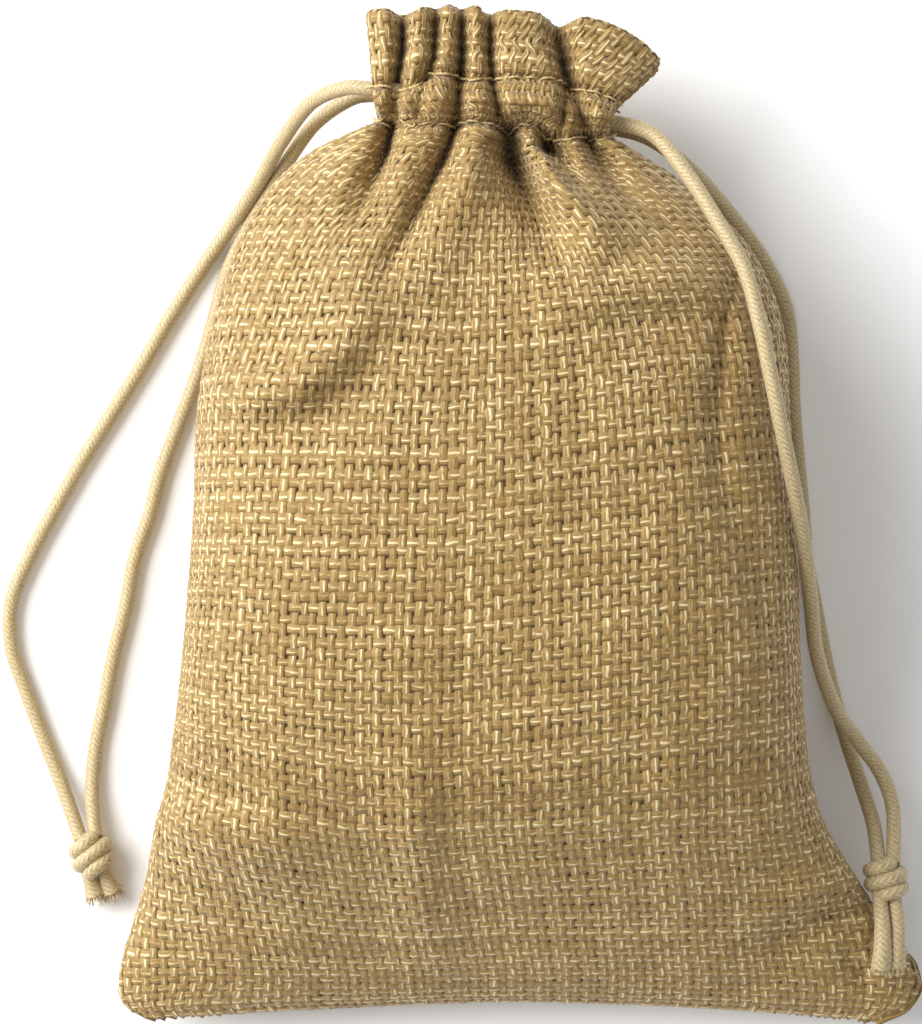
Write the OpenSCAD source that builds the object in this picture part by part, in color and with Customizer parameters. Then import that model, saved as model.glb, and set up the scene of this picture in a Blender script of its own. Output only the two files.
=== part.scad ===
// Drawstring gift pouch, filled out, drawn closed and lying on its back.
// X runs across the pouch, Y towards the mouth and Z up from the table.

/* [Cloth] */
// Thickness of one layer of cloth
cloth_t = 1; // [0.6:0.1:1.2]
// Thickness of the double cloth of the frill
frill_t = 2; // [1.2:0.2:3]
// Width of the seam allowance inside the pouch
allowance_w = 5.4; // [4:0.2:7]

/* [Neck] */
// Width of the gathered neck
neck_w = 38.6; // [36:0.2:42]
// Turn of the gathered neck about Z
neck_tilt = 4; // [0:0.5:6]
// Height of the gap between the front and the back hem
mouth_gap = 5.2; // [4.6:0.1:5.6]
// Height of the sewn casing, measured along the neck's axis
casing_h = 8.9; // [8:0.1:9.4]
// Height of the cord channel in the casing, from one stitch row to the other
channel_h = 6.2; // [5.8:0.1:6.4]
// Clear depth of the cord channel
channel_d = 3.2; // [2.8:0.1:3.4]

/* [Cords] */
// Diameter of both drawstrings
cord_d = 2.4; // [2:0.1:2.4]
// Distance between the two drawstrings in a channel
lane_gap = 2.8; // [2.8:0.1:3]
// Length of each free strand that waits inside the channel
reserve = 12; // [11:0.5:13]
// Gap between a free strand and the loop that stays in the channel
loop_gap = 0.3; // [0.3:0.1:1]

/* [Stitches] */
// Length of one stitch
stitch_l = 2; // [1:0.1:2.6]
// Distance from one stitch to the next
stitch_pitch = 2.9; // [2.8:0.1:4]
// Diameter of the sewing thread
thread_d = 0.6; // [0.3:0.05:0.8]
// Diameter of the overlocked edge of a seam allowance
overlock_d = 1.8; // [1:0.1:2.2]

/* [Hidden] */

cloth = "#b89a66";
cloth_dark = "#a3854f";
thread = "#cdb98c";
cord = "#dccb9d";

cloth_cols = 32;     // facets of a panel from one side seam to the other
cloth_rows = 34;     // facets of a panel from the bottom seam to the neck
tube_sides = 8;
neck_at = [-4, 66, 24];
channel_z = mouth_gap / 2 + cloth_t + channel_d / 2;
casing_top = mouth_gap / 2 + 2 * cloth_t + channel_d;
lane = lane_gap / 2;
loop_turn_u = neck_w / 2 - cord_d / 2 - channel_z;
loop_end_u = neck_w / 2 - reserve - loop_gap;
turn_room = 10.8;    // twice the length of hem that a cord loop turns in
tilt_from_y = 20;    // below this line the panels aren't turned with the neck
lining_from_y = -80.8; // where the hollow begins, above the bottom seam
bottom_strip_y = lining_from_y + 1.2;

// Cross sections of the filled pouch, from the bottom seam to the neck:
// y, left side, right side, height of the side seams, top, bottom, squareness.
// A bottom below zero is pressed flat by the table.
SECTIONS = [
    [-82.5, -58.5, 58.5, 8, 9, 7, 2],
    [-80, -65, 64.5, 8, 13, 4.5, 2],
    [-75, -65.8, 65.8, 8, 18.5, 2.2, 2],
    [-67, -63.5, 60.5, 9, 26, 0, 2.1],
    [-59, -61, 55, 12, 33, -1.5, 2.3],
    [-49, -58.5, 49, 16, 41, -2, 2.5],
    [-39, -56.5, 46.5, 19, 46.5, -2, 2.7],
    [-24, -54.5, 45, 22, 50.5, -2, 2.7],
    [1, -52.5, 44.2, 23, 52, -2, 2.6],
    [16, -52, 43.2, 23.5, 51.5, -1, 2.5],
    [31, -49.5, 42.2, 24, 49, 0, 2.4],
    [43, -45.5, 38, 24, 45, 3, 2.3],
    [51, -40.5, 31.5, 24, 41, 6.5, 2.2],
    [57, -34, 24, 24, 37, 11, 2.2],
    [61.5, -23.3, 15.3, 24, 31.8, 16.2, 2.2]];

// Outline of the front frill in the neck's own plane, from the left round to the right
FRILL = [[-19.3, 3.8], [-20, 10], [-21.5, 14], [-14, 15], [-7.5, 16], [4, 15.5],
    [12, 15.3], [18, 13.5], [25.5, 9], [22, 5.5], [19.3, 3.8]];

// The free strands, from where they lie straight in the casing to their knots
LEFT_OUTER = [[-28.5, 69, 27.5], [-34, 67, 22.5], [-39, 61.5, 14], [-43, 55.5, 7],
    [-47.5, 49, 2.6], [-52.5, 42, 1.3], [-58, 33.5, 1.3], [-63, 25, 1.3], [-68, 17, 1.3],
    [-73, 9, 1.3], [-77.5, 1, 1.3], [-81.5, -6.5, 1.3], [-84.5, -14, 1.3],
    [-84.5, -21.5, 1.3], [-82, -29, 1.3], [-79, -37, 1.3], [-76, -44.5, 2],
    [-72.7, -53.5, 3.6]];
LEFT_INNER = [[-28, 68, 18.2], [-33.5, 64.5, 14.5], [-38, 59, 9.5], [-42, 53, 5],
    [-46, 46.5, 2], [-49, 39.5, 1.3], [-51, 32, 1.3], [-53.5, 24, 1.3], [-56.5, 16, 1.3],
    [-59.5, 8, 1.3], [-61.5, 0.5, 1.3], [-64, -7, 1.3], [-65.5, -15, 1.3],
    [-67.5, -23, 1.3], [-69, -31, 1.3], [-70.5, -38.5, 1.3], [-71, -46, 2],
    [-70.3, -53, 3.6]];
RIGHT_FRONT = [[21.5, 61, 31], [26.5, 54.5, 34.5], [31, 47, 37.8], [35, 39.5, 40.2],
    [37.3, 31, 42], [39, 23, 42.2], [40.8, 14.5, 41.5], [43, 5, 38.5], [45, -4, 34],
    [46.5, -13, 28.5], [48, -22, 22.5], [51.5, -31, 16], [55.5, -36.5, 12],
    [59.5, -42, 10], [61.5, -48, 10.3], [61.2, -56.5, 13.4]];
RIGHT_BACK = [[21.5, 61.5, 18.5], [28, 57, 15], [34.5, 50.5, 9], [40.5, 43, 4],
    [44.5, 35, 1.6], [45.5, 27, 1.3], [45.8, 18.5, 1.3], [46.5, 10, 1.3], [47.3, 1.5, 1.3],
    [48, -7, 1.3], [49.5, -15, 1.3], [51, -23, 1.3], [52.7, -30.5, 1.8],
    [54.6, -37.5, 3.6], [56.7, -44.5, 6.6], [58.3, -50.5, 10], [58.8, -56.5, 13.4]];
LEFT_OUTER_TAIL = [[-71.6, -58.7, 3.6], [-70.9, -62, 2.4], [-70.2, -66, 1.7]];
LEFT_INNER_TAIL = [[-69.2, -58.2, 3.6], [-68.1, -61.6, 2.4], [-66.9, -65.2, 1.7]];
RIGHT_FRONT_TAIL = [[61.3, -61.7, 13.6], [61.6, -66, 15.2], [61.7, -70.5, 15.6],
    [62, -75, 14.4]];
RIGHT_BACK_TAIL = [[58.8, -61.7, 14], [59.1, -66, 16.4], [59, -70.5, 17],
    [58.7, -75, 16]];
LEFT_KNOT_AT = [-70.9, -55.9, 3.6];
LEFT_KNOT_TURN = 14;
RIGHT_KNOT_AT = [60, -59.1, 13.5];
RIGHT_KNOT_TURN = 4;
knot_l = 5.2;
knot_core_r = 2.3;
tail_flare = 1.25;   // how much a frayed end is wider than the cord

// ---- functions ----

// Catmull-Rom spline through four values
function spline(a, b, c, d, t) = b + 0.5 * t * (c - a
    + t * (2 * a - 5 * b + 4 * c - d + t * (3 * (b - c) + d - a)));

// The cross section at a place from 0, the bottom seam, to 1, the neck
function section(place) = let(
        last = len(SECTIONS) - 1,
        at = place * last,
        i = min(floor(at), last - 1),
        a = SECTIONS[max(i - 1, 0)],
        d = SECTIONS[min(i + 2, last)])
    [for (k = [0:6]) spline(a[k], SECTIONS[i][k], SECTIONS[i + 1][k], d[k], at - i)];

// Turns a point with the neck, more the nearer it is to it
function tilted(p) = let(
        share = min(max((p.y - tilt_from_y) / (neck_at.y - tilt_from_y), 0), 1))
    [p.x, p.y - tan(neck_tilt) * (p.x - neck_at.x) * share, p.z];

// A point of a panel: side is 1 for the front and -1 for the back, and inset is
// how far it lies inside the outer face
function cloth_point(place, angle, side, inset) = let(
        s = section(place),
        half_w = (s[2] - s[1]) / 2 - inset,
        half_h = side * ((side > 0 ? s[4] : s[5]) - s[3]) - inset,
        c = cos(angle),
        x = (s[1] + s[2]) / 2 - half_w * sign(c) * pow(abs(c), 2 / s[6]),
        z = s[3] + side * half_h * pow(abs(sin(angle)), 2 / s[6]),
        first = SECTIONS[0][0],
        last = SECTIONS[len(SECTIONS) - 1][0],
        y = inset == 0 ? s[0]
            : lining_from_y + (s[0] - first) * (last - lining_from_y) / (last - first))
    tilted([x, y, max(z, inset)]);

// The panel's left or right edge, at the height of the side seams
function edge_point(place, side) = let(s = section(place))
    [side < 0 ? s[1] : s[2], s[0], s[3]];

function unit(v) = v / norm(v);

// Rings of a round tube along a path, and the faces that close it
function ring(path, i, r) = let(
        last = len(path) - 1,
        ahead = unit(path[min(i + 1, last)] - path[max(i - 1, 0)]),
        across = unit(cross(ahead, [0, 0, 1])),
        up = cross(across, ahead))
    [for (k = [0:tube_sides - 1]) let(a = 360 * (k + 0.5) / tube_sides)
        path[i] + r * (cos(a) * across + sin(a) * up)];

function grid_faces(rows, cols, wrap) = [
    for (j = [0:rows - 2], i = [0:cols - (wrap ? 1 : 2)]) let(
            a = j * cols + i,
            b = j * cols + (i + 1) % cols)
        each [[a, b, b + cols], [a, b + cols, a + cols]]];

// ---- shapes used by more than one piece ----

module tube(path, r, end_r = 0) {
    count = len(path);
    points = [for (i = [0:count - 1])
        each ring(path, i, i == count - 1 && end_r > 0 ? end_r : r)];
    first_cap = [for (k = [tube_sides - 1:-1:0]) k];
    last_cap = [for (k = [0:tube_sides - 1]) (count - 1) * tube_sides + k];
    polyhedron(points, [
        for (f = grid_faces(count, tube_sides, true)) [f[2], f[1], f[0]],
        [for (k = first_cap) tube_sides - 1 - k],
        [for (k = last_cap) 2 * (count - 1) * tube_sides + tube_sides - 1 - k]],
        convexity = 6);
}

// One cloth panel: an outer and an inner face, joined by a rim
module panel(side) {
    cols = cloth_cols + 1;
    rows = cloth_rows + 1;
    size = rows * cols;
    points = [for (inset = [0, cloth_t], j = [0:cloth_rows], i = [0:cloth_cols])
        cloth_point(j / cloth_rows, 180 * i / cloth_cols, side, inset)];
    outer = grid_faces(rows, cols, false);
    rim = concat(
        [for (i = [0:cloth_cols]) i],
        [for (j = [1:cloth_rows]) j * cols + cloth_cols],
        [for (i = [cloth_cols - 1:-1:0]) cloth_rows * cols + i],
        [for (j = [cloth_rows - 1:-1:1]) j * cols]);
    faces = concat(
        outer,
        [for (f = outer) [f[2] + size, f[1] + size, f[0] + size]],
        [for (k = [0:len(rim) - 1]) let(a = rim[k], b = rim[(k + 1) % len(rim)])
            each [[b, a, a + size], [b, a + size, b + size]]]);
    polyhedron(points, side > 0 ? [for (f = faces) [f[2], f[1], f[0]]] : faces,
        convexity = 6);
}

// A flat strip along a side seam, inside the pouch
module side_strip(side) {
    half_t = 0.9;
    steps = 22;
    points = [for (j = [0:steps]) let(
            p = edge_point(0.155 + 0.8 * j / steps, side),
            near = p.x - side * (cloth_t + 0.3),
            far = near - side * allowance_w)
        each [for (q = [[near, -half_t], [far, -half_t], [far, half_t], [near, half_t]])
            tilted([q[0], p.y, p.z + q[1]])]];
    walls = grid_faces(steps + 1, 4, true);
    polyhedron(points, concat(
        [for (f = walls) side > 0 ? f : [f[2], f[1], f[0]]],
        [side > 0 ? [3, 2, 1, 0] : [0, 1, 2, 3]],
        [[for (k = side > 0 ? [0:3] : [3:-1:0]) 4 * steps + k]]),
        convexity = 6);
}

// The overlocked edge of that strip
module side_overlock(side) {
    steps = 18;
    inwards = cloth_t + 0.3 + allowance_w + overlock_d / 2;
    tube([for (j = [0:steps]) let(p = edge_point(0.155 + 0.8 * j / steps, side))
        tilted([p.x - side * inwards, p.y, p.z])], overlock_d / 2);
}

// Places children in the neck's own frame: X along the cords, Y towards the mouth
module at_neck() translate(neck_at) rotate([0, 0, -neck_tilt]) children();

// One hem: the casing with its cord channel, and the frill above it
module hem(frill_h) {
    half = casing_h / 2;
    difference() {
        union() {
            rotate([90, 0, 90])
                linear_extrude(neck_w, center = true)
                    polygon([[-half, mouth_gap / 2], [half, mouth_gap / 2],
                        [half, casing_top - 0.8], [half - 0.8, casing_top],
                        [0.8 - half, casing_top], [-half, casing_top - 0.8]]);
            translate([0, 0, channel_z - frill_t / 2])
                linear_extrude(frill_t)
                    polygon([for (p = FRILL) [p.x, half - 0.2 + (p.y - 3.8) * frill_h]]);
        }
        translate([0, 0, channel_z])
            cube([neck_w + 10, channel_h, channel_d], center = true);
        // Where the other cord's loop turns from one hem to the other
        for (end = [-1, 1])
            translate([end * neck_w / 2, 0, mouth_gap / 2])
                cube([turn_room, channel_h, 3 * cloth_t], center = true);
    }
}

// A row of stitches along the casing, at v above the channel's middle
module stitch_row(v) {
    count = floor((neck_w - 2) / stitch_pitch);
    for (k = [0:count - 1])
        translate([(k - (count - 1) / 2) * stitch_pitch, v, casing_top + 0.15])
            rotate([0, 90, 0])
                cylinder(d = thread_d, h = stitch_l, center = true, $fn = 16);
}

// The part of a drawstring that stays in the casing: through the front, round and back
module cord_loop(side) {
    turn = side * loop_turn_u;
    run = loop_turn_u + loop_end_u;
    translate([0, side * lane, 0]) {
        for (z = [-channel_z, channel_z])
            translate([side * (loop_turn_u - run / 2), 0, z])
                rotate([0, 90, 0])
                    cylinder(d = cord_d, h = run, center = true, $fn = 32);
        translate([turn, 0, 0])
            rotate([90, side > 0 ? 90 : -90, 0])
                rotate_extrude(angle = 180, $fn = 64)
                    translate([channel_z, 0])
                        circle(d = cord_d, $fn = 32);
    }
}

// A point in the neck's frame, given in the pouch's frame
function from_neck(p) = [
    neck_at.x + p.x * cos(neck_tilt) + p.y * sin(neck_tilt),
    neck_at.y - p.x * sin(neck_tilt) + p.y * cos(neck_tilt),
    neck_at.z + p.z];

// A free strand: straight out of the casing, then along its route to the knot
module strand(side, hem_side, route) {
    v = -side * lane;
    z = hem_side * channel_z;
    tube(concat(
        [for (u = [loop_end_u + loop_gap, neck_w / 2 - 5, neck_w / 2 + 1])
            from_neck([side * u, v, z])],
        route), cord_d / 2);
}

// Both ends of a drawstring knotted together: two turns of cord round a core
module knot(at, turn) {
    translate(at)
        rotate([90, 0, turn]) {
            cylinder(r = knot_core_r, h = knot_l, center = true, $fn = 32);
            for (z = [-knot_l / 4, knot_l / 4])
                translate([0, 0, z])
                    rotate_extrude($fn = 48)
                        translate([cord_d, 0])
                            circle(d = cord_d, $fn = 24);
        }
}

module tail(route) {
    tube(route, cord_d / 2, cord_d / 2 * tail_flare);
}

// ---- pieces ----

module front_panel() color(cloth) panel(1);
module back_panel() color(cloth_dark) panel(-1);
module front_hem() color(cloth) at_neck() hem(1);
module back_hem() color(cloth_dark) at_neck() mirror([0, 0, 1]) hem(0.9);

stitch_v = (casing_h + channel_h) / 4;
module front_lower_stitch() color(thread) at_neck() stitch_row(-stitch_v);
module front_upper_stitch() color(thread) at_neck() stitch_row(stitch_v);
module back_lower_stitch() color(thread) at_neck() mirror([0, 0, 1]) stitch_row(-stitch_v);
module back_upper_stitch() color(thread) at_neck() mirror([0, 0, 1]) stitch_row(stitch_v);

module left_side_seam() color(cloth_dark) side_strip(-1);
module right_side_seam() color(cloth_dark) side_strip(1);
module bottom_seam() color(cloth_dark)
    translate([0, bottom_strip_y + allowance_w / 2, SECTIONS[0][3]])
        cube([110, allowance_w, 1], center = true);
module left_overlock() color(thread) side_overlock(-1);
module right_overlock() color(thread) side_overlock(1);
module bottom_overlock() color(thread)
    translate([0, bottom_strip_y + allowance_w + overlock_d / 2, SECTIONS[0][3]])
        rotate([0, 90, 0])
            cylinder(d = overlock_d, h = 110, center = true, $fn = 24);

module left_cord_loop() color(cord) at_neck() cord_loop(1);
module left_outer_strand() color(cord) strand(-1, 1, LEFT_OUTER);
module left_inner_strand() color(cord) strand(-1, -1, LEFT_INNER);
module left_knot() color(cord) knot(LEFT_KNOT_AT, LEFT_KNOT_TURN);
module left_outer_tail() color(cord) tail(LEFT_OUTER_TAIL);
module left_inner_tail() color(cord) tail(LEFT_INNER_TAIL);

module right_cord_loop() color(cord) at_neck() cord_loop(-1);
module right_front_strand() color(cord) strand(1, 1, RIGHT_FRONT);
module right_back_strand() color(cord) strand(1, -1, RIGHT_BACK);
module right_knot() color(cord) knot(RIGHT_KNOT_AT, RIGHT_KNOT_TURN);
module right_front_tail() color(cord) tail(RIGHT_FRONT_TAIL);
module right_back_tail() color(cord) tail(RIGHT_BACK_TAIL);

front_panel();
back_panel();
front_hem();
back_hem();
front_lower_stitch();
front_upper_stitch();
back_lower_stitch();
back_upper_stitch();
left_side_seam();
right_side_seam();
bottom_seam();
left_overlock();
right_overlock();
bottom_overlock();
left_cord_loop();
left_outer_strand();
left_inner_strand();
left_knot();
left_outer_tail();
left_inner_tail();
right_cord_loop();
right_front_strand();
right_back_strand();
right_knot();
right_front_tail();
right_back_tail();
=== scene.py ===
import bpy
import numpy as np
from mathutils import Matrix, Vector


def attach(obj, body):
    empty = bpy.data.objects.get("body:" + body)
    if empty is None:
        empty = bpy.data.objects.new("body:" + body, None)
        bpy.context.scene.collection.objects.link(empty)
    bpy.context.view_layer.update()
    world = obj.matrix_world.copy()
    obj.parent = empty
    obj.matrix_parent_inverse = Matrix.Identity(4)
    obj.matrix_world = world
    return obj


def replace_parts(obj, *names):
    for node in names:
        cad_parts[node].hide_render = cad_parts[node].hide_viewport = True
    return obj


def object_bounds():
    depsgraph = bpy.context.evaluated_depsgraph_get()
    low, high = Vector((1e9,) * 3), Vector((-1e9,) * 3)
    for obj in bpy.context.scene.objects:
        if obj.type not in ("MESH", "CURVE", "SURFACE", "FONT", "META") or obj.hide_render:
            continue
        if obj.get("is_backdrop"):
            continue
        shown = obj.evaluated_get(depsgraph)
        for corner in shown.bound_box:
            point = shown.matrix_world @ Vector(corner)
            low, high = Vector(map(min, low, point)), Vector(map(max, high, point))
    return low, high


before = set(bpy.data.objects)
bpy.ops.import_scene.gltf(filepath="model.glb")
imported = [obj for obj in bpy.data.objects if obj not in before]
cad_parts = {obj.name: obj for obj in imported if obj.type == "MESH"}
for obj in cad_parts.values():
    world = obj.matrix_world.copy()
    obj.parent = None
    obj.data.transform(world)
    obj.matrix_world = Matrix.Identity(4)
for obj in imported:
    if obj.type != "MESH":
        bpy.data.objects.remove(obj)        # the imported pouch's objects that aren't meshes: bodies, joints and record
cadBox = [list(corner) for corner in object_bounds()]
mm = 0.001


# small helpers

def linearColour(hexCode):
    # sRGB hex to linear RGBA: ((s + 0.055) / 1.055) ^ 2.4 above the toe
    s = np.array([int(hexCode[i:i + 2], 16) for i in (1, 3, 5)]) / 255
    linear = np.where(s <= 0.04045, s / 12.92, ((s + 0.055) / 1.055) ** 2.4)
    return (*linear.tolist(), 1.0)


def addNode(tree, kind, links=None, inputs=None, stops=(), **settings):
    # one shader node: its own settings, its fixed inputs, the sockets that feed it and, for
    # a colour ramp, its (position, hex) stops
    node = tree.nodes.new("ShaderNode" + kind)
    for name, value in settings.items():
        setattr(node, name, value)
    for name, value in (inputs or {}).items():
        node.inputs[name].default_value = value
    for name, source in (links or {}).items():
        tree.links.new(source, node.inputs[name])
    if stops:
        elements = node.color_ramp.elements
        while len(elements) < len(stops):
            elements.new(0.5)
        for element, (position, hexCode) in zip(elements, stops):
            element.position = position
            element.color = linearColour(hexCode)
    return node


def newMaterial(name, **sockets):
    # a Principled material whose even values sit on the shader's own sockets
    material = bpy.data.materials.new(name)
    material.use_nodes = True
    tree = material.node_tree
    shader = tree.nodes["Principled BSDF"]
    for socket, value in sockets.items():
        shader.inputs[socket.replace("_", " ")].default_value = value
    return material, tree, shader


def spline(a, b, c, d, t):
    # Catmull-Rom spline through four values, running from b at t = 0 to c at t = 1
    return b + 0.5 * t * (c - a + t * (2 * a - 5 * b + 4 * c - d + t * (3 * (b - c) + d - a)))


def splineRows(table, at):
    # a table's rows at fractional row numbers, on a spline through its rows
    last = len(table) - 1
    low = np.clip(np.floor(at).astype(int), 0, last - 1)
    share = (at - low).reshape((-1,) + (1,) * (table.ndim - 1))
    return spline(table[np.maximum(low - 1, 0)], table[low],
                  table[low + 1], table[np.minimum(low + 2, last)], share)


def splineGrid(table, rowsAt, colsAt):
    # a table at fractional rows and columns
    across = splineRows(np.swapaxes(table, 0, 1), colsAt)
    return splineRows(np.swapaxes(across, 0, 1), rowsAt)


def softNoise(seed, rows, cols, rowCells, colCells):
    # seeded smooth noise of about -1 to 1: random values on a coarse grid, splined
    coarse = np.random.default_rng(seed).normal(0, 0.6, (rowCells + 1, colCells + 1))
    return splineGrid(coarse, np.linspace(0, rowCells, rows), np.linspace(0, colCells, cols))


def unit(v):
    return v / np.maximum(np.linalg.norm(v, axis=-1, keepdims=True), 1e-12)


def runAlong(lines):
    # the length along each line of points, from 0 at its first one
    step = np.linalg.norm(np.diff(lines, axis=-2), axis=-1)
    return np.concatenate([np.zeros((*step.shape[:-1], 1)), np.cumsum(step, axis=-1)], -1)


def makePiece(name, points, faces, body, material, uv=None, bakeUv=None, attributes=None):
    # quads and points (in mm) as a smooth mesh that rides on a body
    mesh = bpy.data.meshes.new(name)
    mesh.vertices.add(len(points))
    mesh.vertices.foreach_set("co", (points * mm).astype(np.float32).ravel())
    mesh.loops.add(faces.size)
    mesh.loops.foreach_set("vertex_index", faces.astype(np.int32).ravel())
    mesh.polygons.add(len(faces))
    mesh.polygons.foreach_set("loop_start", np.arange(0, faces.size, 4, dtype=np.int32))
    mesh.polygons.foreach_set("use_smooth", np.ones(len(faces), bool))
    for layerName, layer in (("Along", uv), ("OFBake", bakeUv)):
        if layer is not None:
            mesh.uv_layers.new(name=layerName).data.foreach_set(
                "uv", layer.astype(np.float32).ravel())
    for attributeName, values in (attributes or {}).items():
        mesh.attributes.new(attributeName, "FLOAT", "POINT").data.foreach_set(
            "value", values.astype(np.float32).ravel())
    mesh.update(calc_edges=True)
    mesh.validate()
    mesh.materials.append(material)
    piece = bpy.data.objects.new(name, mesh)
    bpy.context.scene.collection.objects.link(piece)
    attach(piece, body)
    return piece


def tubeMesh(paths, ups, halfWidth, halfHeight, sides, relief=None):
    # closed tubes: ring point = path + w cos(angle) across + h sin(angle) up;
    # returns points, quads and, for each quad corner, its tube, place along and place round
    tubes, rings = paths.shape[:2]
    ahead = unit(np.gradient(paths, axis=1))
    across = unit(np.cross(ahead, ups))
    up = np.cross(across, ahead)
    angle = np.linspace(0, 2 * np.pi, sides, endpoint=False)
    swell = np.ones((tubes, rings, sides)) if relief is None else relief
    points = (paths[:, :, None]
              + (halfWidth[:, :, None] * np.cos(angle) * swell)[..., None] * across[:, :, None]
              + (halfHeight[:, :, None] * np.sin(angle) * swell)[..., None] * up[:, :, None])
    t, r, s = np.meshgrid(np.arange(tubes), np.arange(rings - 1), np.arange(sides), indexing="ij")
    turn = (s + 1) % sides
    corner = lambda ring, side: (t * rings + ring) * sides + side
    walls = np.stack([corner(r, s), corner(r + 1, s), corner(r + 1, turn), corner(r, turn)], -1)
    places = np.stack([np.stack([t, r + dr, s + ds], -1) for dr, ds in
                       ((0, 0), (1, 0), (1, 1), (0, 1))], -2)
    step = np.arange(1, sides // 2)
    fan = np.stack([0 * step, 2 * step - 1, 2 * step, 2 * step + 1], -1)
    first = np.arange(tubes)[:, None, None] * rings * sides
    caps = np.concatenate([first + fan, first + (rings - 1) * sides + fan[:, ::-1]], 1)
    capPlaces = np.zeros((*caps.shape, 3))
    capPlaces[..., 0] = np.arange(tubes)[:, None, None]
    capPlaces[:, len(fan):, :, 1] = rings - 1
    faces = np.concatenate([walls.reshape(-1, 4), caps.reshape(-1, 4)])
    return (points.reshape(-1, 3), faces,
            np.concatenate([places.reshape(-1, 4, 3), capPlaces.reshape(-1, 4, 3)]))


# the camera, over the middle of the view

view = {
    "x": -9.6, "y": 1.0,            # mm, what the camera looks straight down at
    "height": 728,                  # mm above the floor
    "lens": 170.3, "sensor": 36,    # mm, focal length and sensor width
}
cameraData = bpy.data.cameras.new("Camera")
cameraData.sensor_fit = "HORIZONTAL"
cameraData.sensor_width = view["sensor"]
cameraData.lens = view["lens"]
cameraData.clip_end = 5
camera = bpy.data.objects.new("Camera", cameraData)
camera.location = (view["x"] * mm, view["y"] * mm, view["height"] * mm)
bpy.context.scene.collection.objects.link(camera)
bpy.context.scene.camera = camera


# the drawstrings

cordLook = {
    "radius": 1.2,          # mm
    "ringStep": 0.28,       # mm from one ring of the mesh to the next
    "sides": 32,
    "strands": 8,           # strands of the braid in each direction
    "lay": 0.88,            # mm along the cord from one strand to the next
    "relief": 0.075,        # share of the radius that a strand stands proud
    "flare": 0.4,           # share that a cut end opens out
    "fibres": 46,           # loose fibres of a frayed end
    "fibreLength": (0.8, 2.1),      # mm, least and most
    "fibreRadius": (0.13, 0.07),    # mm, at the root and the tip
}
neck = {                    # the gathered neck's own frame, in mm
    "at": (-4, 66, 24),     # its middle
    "tilt": 4,              # degrees that it is turned about Z
    "halfWidth": 19.3,
    "channelZ": 5.2,        # height of the cords above and below the middle
    "lane": 1.4,            # the two cords' places side by side in a channel
    "strandStart": 7.3,     # where a free strand begins inside the casing
    "loopEnd": 7,           # where a loop inside it begins, and how far out it turns
    "loopTurn": 12.9,
}

# The routes of the free strands in mm, the same points as the frame's own
leftOuter = [[-28.5, 69, 27.5], [-34, 67, 22.5], [-39, 61.5, 14], [-43, 55.5, 7],
    [-47.5, 49, 2.6], [-52.5, 42, 1.3], [-58, 33.5, 1.3], [-63, 25, 1.3], [-68, 17, 1.3],
    [-73, 9, 1.3], [-77.5, 1, 1.3], [-81.5, -6.5, 1.3], [-84.5, -14, 1.3],
    [-84.5, -21.5, 1.3], [-82, -29, 1.3], [-79, -37, 1.3], [-76, -44.5, 2],
    [-72.7, -53.5, 3.6]]
leftInner = [[-28, 68, 18.2], [-33.5, 64.5, 14.5], [-38, 59, 9.5], [-42, 53, 5],
    [-46, 46.5, 2], [-49, 39.5, 1.3], [-51, 32, 1.3], [-53.5, 24, 1.3], [-56.5, 16, 1.3],
    [-59.5, 8, 1.3], [-61.5, 0.5, 1.3], [-64, -7, 1.3], [-65.5, -15, 1.3],
    [-67.5, -23, 1.3], [-69, -31, 1.3], [-70.5, -38.5, 1.3], [-71, -46, 2],
    [-70.3, -53, 3.6]]
rightFront = [[21.5, 61, 31], [26.5, 54.5, 34.5], [31, 47, 37.8], [35, 39.5, 40.2],
    [37.3, 31, 42], [39, 23, 42.2], [40.8, 14.5, 41.5], [43, 5, 38.5], [45, -4, 34],
    [46.5, -13, 28.5], [48, -22, 22.5], [51.5, -31, 16], [55.5, -36.5, 12],
    [59.5, -42, 10], [61.5, -48, 10.3], [61.2, -56.5, 13.4]]
rightBack = [[21.5, 61.5, 18.5], [28, 57, 15], [34.5, 50.5, 9], [40.5, 43, 4],
    [44.5, 35, 1.6], [45.5, 27, 1.3], [45.8, 18.5, 1.3], [46.5, 10, 1.3], [47.3, 1.5, 1.3],
    [48, -7, 1.3], [49.5, -15, 1.3], [51, -23, 1.3], [52.7, -30.5, 1.8],
    [54.6, -37.5, 3.6], [56.7, -44.5, 6.6], [58.3, -50.5, 10], [58.8, -56.5, 13.4]]
leftKnot = {"at": (-70.9, -55.9, 3.6), "turn": 14, "slant": 16}
rightKnot = {"at": (60, -59.1, 13.5), "turn": 4, "slant": 3}
tails = {
    "left_outer_tail": [[-71.6, -58.2, 3.6], [-71.0, -60.8, 2.8], [-70.4, -62.8, 2.4]],
    "left_inner_tail": [[-69.2, -57.8, 3.6], [-68.3, -60.4, 2.8], [-67.6, -62.2, 2.3]],
    "right_front_tail": [[61.3, -61.2, 13.6], [61.6, -66, 15.2], [61.5, -70.5, 15.8],
                         [61.5, -73.2, 15.2]],
    "right_back_tail": [[58.8, -61.2, 14], [59.1, -66, 16.4], [59.1, -70.5, 17],
                        [59, -73.2, 16.2]]}


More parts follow.
